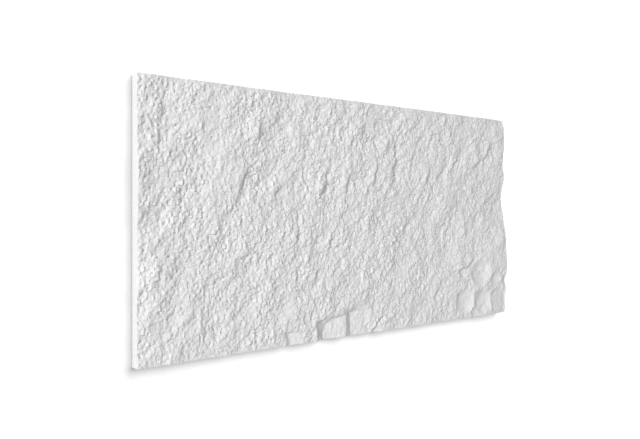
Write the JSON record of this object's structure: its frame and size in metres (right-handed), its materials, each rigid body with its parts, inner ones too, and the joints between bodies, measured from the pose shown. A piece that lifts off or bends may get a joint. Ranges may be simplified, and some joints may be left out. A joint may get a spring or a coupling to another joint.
{
  "type": "3d wall panel",
  "caption": "Rectangular cast gypsum wall panel with a broken rock face, a flat back and four square butt edges.",
  "frame": {"origin": "middle of the flat back, which lies on the floor or against the wall", "axes": "+X along the panel's length, +Y up its height as it hangs, +Z out of the rock face"},
  "size_m": [1.2, 0.6, 0.0402],
  "materials": {
    "cast_gypsum": "matte"
  },
  "bodies": {
    "root": {"rock_panel": "cast_gypsum"}
  },
  "joints": []
}
